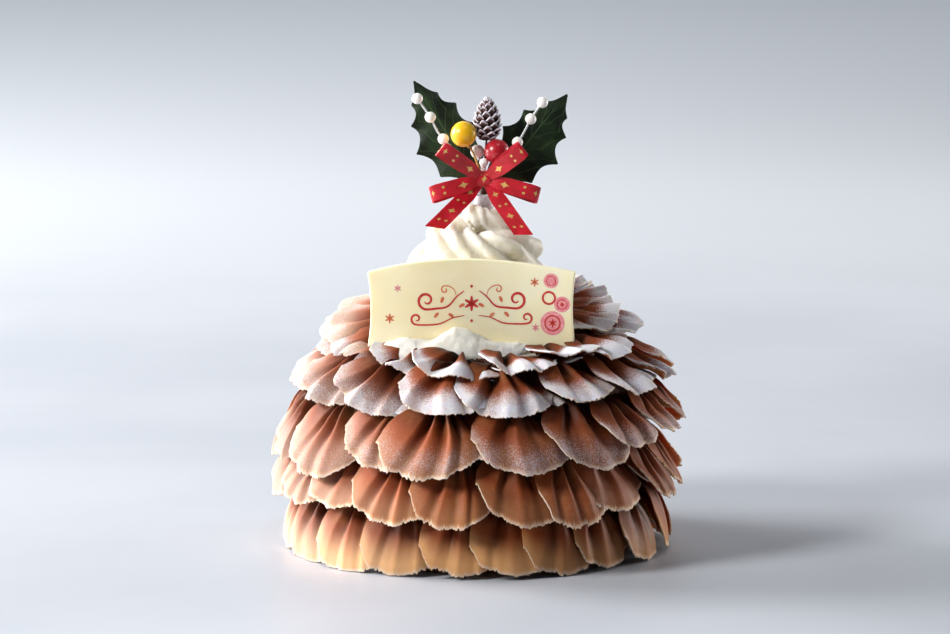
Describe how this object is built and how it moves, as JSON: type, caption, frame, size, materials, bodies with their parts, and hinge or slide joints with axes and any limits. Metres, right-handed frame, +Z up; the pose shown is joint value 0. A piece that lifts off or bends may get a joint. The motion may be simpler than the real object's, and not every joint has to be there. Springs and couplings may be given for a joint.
{
  "type": "black forest cake",
  "caption": "Round chocolate gateau covered by rows of pleated chocolate fans, with a piped cream swirl, a white chocolate plaque and a holly pick with a red bow.",
  "frame": {"origin": "middle of the cake's flat foot, on the surface it stands on", "axes": "+Z up along the cake's axis, -Y towards the front of the plaque, +X to the right of a viewer who faces the plaque"},
  "size_m": [0.1622, 0.1621, 0.1796],
  "materials": {
    "sponge_cake": "dark sponge with a cream coat",
    "milk_chocolate": "satin milk chocolate, thin and pale at the edge",
    "whipped_cream": "soft matt cream",
    "white_chocolate": "smooth satin",
    "clear_plastic": "clear to white, smooth",
    "dark_tape": "wrapped wire",
    "satin_ribbon": "satin weave",
    "holly_leaf": "dull coated cloth",
    "cone_scales": "rough, frosted tips",
    "yellow_lacquer": "satin lacquer",
    "red_lacquer": "gloss lacquer",
    "pearl": "pearl"
  },
  "bodies": {
    "root": {"cake_body": "sponge_cake", "fan_row_1": "milk_chocolate", "fan_row_2": "milk_chocolate", "fan_row_3": "milk_chocolate", "fan_row_4": "milk_chocolate", "fan_row_5": "milk_chocolate", "fan_crown": "milk_chocolate", "cream_swirl": "whipped_cream", "cream_dab": "whipped_cream", "plaque": "white_chocolate", "pick_sleeve": "clear_plastic", "pick_binding": "dark_tape", "ribbon_bow": "satin_ribbon", "holly_leaf_left": "holly_leaf", "holly_leaf_right": "holly_leaf", "pine_cone": "cone_scales", "yellow_ball": "yellow_lacquer", "red_berry": "red_lacquer", "pearl_bead": "pearl", "small_bead": "pearl", "pearl_spray_left": "pearl", "pearl_spray_right": "pearl"}
  },
  "joints": []
}
